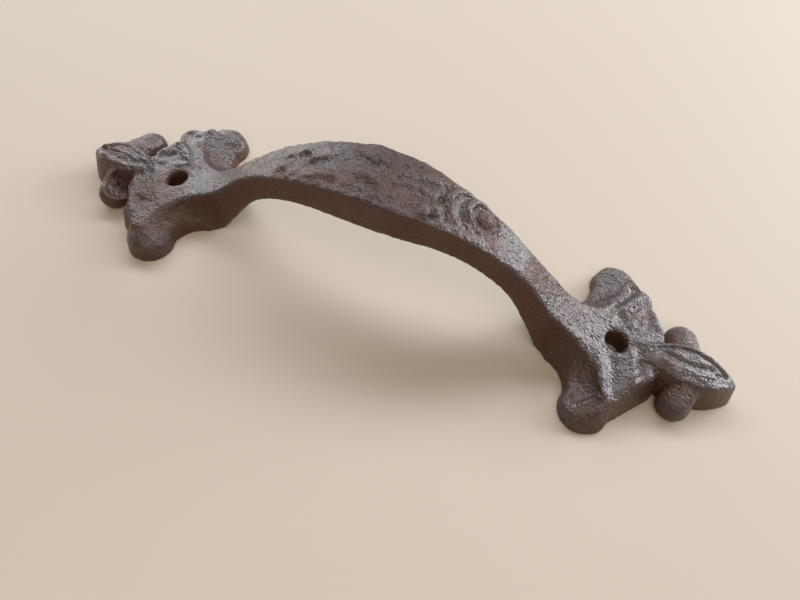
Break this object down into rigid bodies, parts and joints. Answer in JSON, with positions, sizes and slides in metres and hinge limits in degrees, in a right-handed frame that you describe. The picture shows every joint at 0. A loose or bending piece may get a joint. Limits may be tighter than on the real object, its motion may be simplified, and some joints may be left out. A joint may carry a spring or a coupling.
{
  "type": "drawer pull",
  "caption": "Arched cast-iron drawer pull with a carved, crowned grip and flat pierced ends shaped as curled leaves.",
  "frame": {"origin": "middle of the two screw holes, in the plane of the flat back", "axes": "+X along the pull towards its longer end, +Y across it, +Z out from the drawer front through the grip"},
  "size_m": [0.1476, 0.0417, 0.0283],
  "materials": {
    "iron": "dark brown sand-cast surface with a satin wax sheen and reddish rust in the hollows"
  },
  "bodies": {
    "root": {"cast_pull": "iron"}
  },
  "joints": []
}
